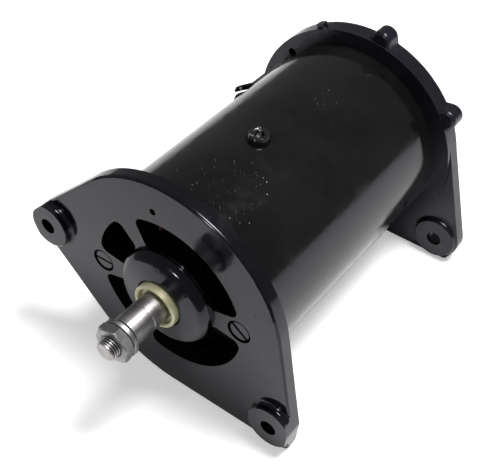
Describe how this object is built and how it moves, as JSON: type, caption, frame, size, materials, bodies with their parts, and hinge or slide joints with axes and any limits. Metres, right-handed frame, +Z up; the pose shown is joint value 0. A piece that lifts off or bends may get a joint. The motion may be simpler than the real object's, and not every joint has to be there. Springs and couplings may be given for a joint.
{
  "type": "vehicle dynamo",
  "caption": "Cylindrical dynamo with cast end brackets and bolting ears, a keyed shaft with collar and nut for a pulley, cooling windows and blade terminals.",
  "frame": {"origin": "on the shaft axis, in the outer face of the shaft collar, where the hub of a pulley seats", "axes": "+Z up as the dynamo lies on a table on its lower edge, +Y along the shaft from the drive end to the commutator end, +X to the right for someone who faces the drive end"},
  "size_m": [0.153, 0.2155, 0.1255],
  "materials": {
    "bracket_paint": "gloss",
    "yoke_paint": "gloss",
    "painted_steel": "semi-gloss",
    "bright_steel": "bright",
    "plated_steel": "yellow zinc plate",
    "bearing_steel": "polished",
    "cage_brass": "satin",
    "terminal_brass": "tinned",
    "bronze": "satin, oil soaked",
    "winding_copper": "varnished",
    "core_iron": "dull",
    "pole_iron": "dull",
    "coil_tape": "varnished tape",
    "felt": "matte",
    "fibre": "matte",
    "moulding": "satin",
    "carbon": "matte",
    "lead_covering": "woven"
  },
  "bodies": {
    "stator": {"drive_end_bracket": "bracket_paint", "commutator_end_bracket": "bracket_paint", "yoke": "yoke_paint", "terminal_block": "moulding", "output_terminal": "terminal_brass", "field_terminal": "terminal_brass", "terminal_rivets": "terminal_brass", "through_bolt_right": "painted_steel", "through_bolt_left": "painted_steel", "pole_screw_upper": "painted_steel", "pole_screw_lower": "painted_steel", "locating_dowels": "bright_steel", "bearing_outer_race": "bearing_steel", "felt_ring": "felt", "felt_ring_cup": "bright_steel", "bearing_retaining_plate": "plated_steel", "retaining_plate_rivets": "bright_steel", "pole_shoe_upper": "pole_iron", "pole_shoe_lower": "pole_iron", "field_coil_upper": "coil_tape", "field_coil_lower": "coil_tape", "end_bush": "bronze", "bush_felt_disc": "felt", "bush_cap": "plated_steel", "thrust_washer": "fibre", "brush_box_upper": "plated_steel", "brush_box_lower": "plated_steel", "brush_box_insulator": "fibre", "brush_box_screws": "bright_steel", "brush_spring_upper": "bright_steel", "brush_spring_lower": "bright_steel", "output_lead": "lead_covering", "field_lead": "lead_covering", "field_link": "lead_covering"},
    "armature": {"armature_shaft": "bright_steel", "armature_core": "core_iron", "core_end_discs": "fibre", "armature_windings": "winding_copper", "commutator_segments": "winding_copper", "commutator_sleeve": "moulding", "bearing_inner_race": "bearing_steel", "shaft_collar": "plated_steel", "shaft_key": "bright_steel", "shaft_spring_washer": "bright_steel", "shaft_nut": "bright_steel"},
    "ball_train": {"bearing_balls": "bearing_steel", "bearing_cage": "cage_brass"},
    "brush_upper": {"brush_upper": "carbon"},
    "brush_lower": {"brush_lower": "carbon"},
    "brush_arm_upper": {"brush_arm_upper": "bright_steel"},
    "brush_arm_lower": {"brush_arm_lower": "bright_steel"}
  },
  "joints": [
    {"name": "armature_spin", "type": "hinge", "parent": "stator", "child": "armature", "pos_m": [0, 0, 0], "axis": [0, 1, 0], "continuous": true},
    {"name": "ball_train_spin", "type": "hinge", "parent": "stator", "child": "ball_train", "pos_m": [0, 0.0177, 0], "axis": [0, 1, 0], "continuous": true},
    {"name": "brush_arm_upper_lift", "type": "hinge", "parent": "stator", "child": "brush_arm_upper", "pos_m": [0.014, 0.1362, 0.0332], "axis": [0, 1, 0], "range_deg": [0, 25], "stiffness_Nm_per_rad": 0.02, "springref_deg": -34.38},
    {"name": "brush_upper_lift", "type": "slide", "parent": "stator", "child": "brush_upper", "axis": [0, 0, 1], "range_m": [0, 0.0045]},
    {"name": "brush_arm_lower_lift", "type": "hinge", "parent": "stator", "child": "brush_arm_lower", "pos_m": [-0.014, 0.1362, -0.0332], "axis": [0, 1, 0], "range_deg": [0, 25], "stiffness_Nm_per_rad": 0.02, "springref_deg": -34.38},
    {"name": "brush_lower_lift", "type": "slide", "parent": "stator", "child": "brush_lower", "axis": [0, 0, -1], "range_m": [0, 0.0045]}
  ],
  "couplings": [
    {"joint": "ball_train_spin", "follows": "armature_spin", "ratio": 0.384},
    {"joint": "brush_upper_lift", "follows": "brush_arm_upper_lift", "m_per_rad": 0.009},
    {"joint": "brush_lower_lift", "follows": "brush_arm_lower_lift", "m_per_rad": 0.009}
  ]
}
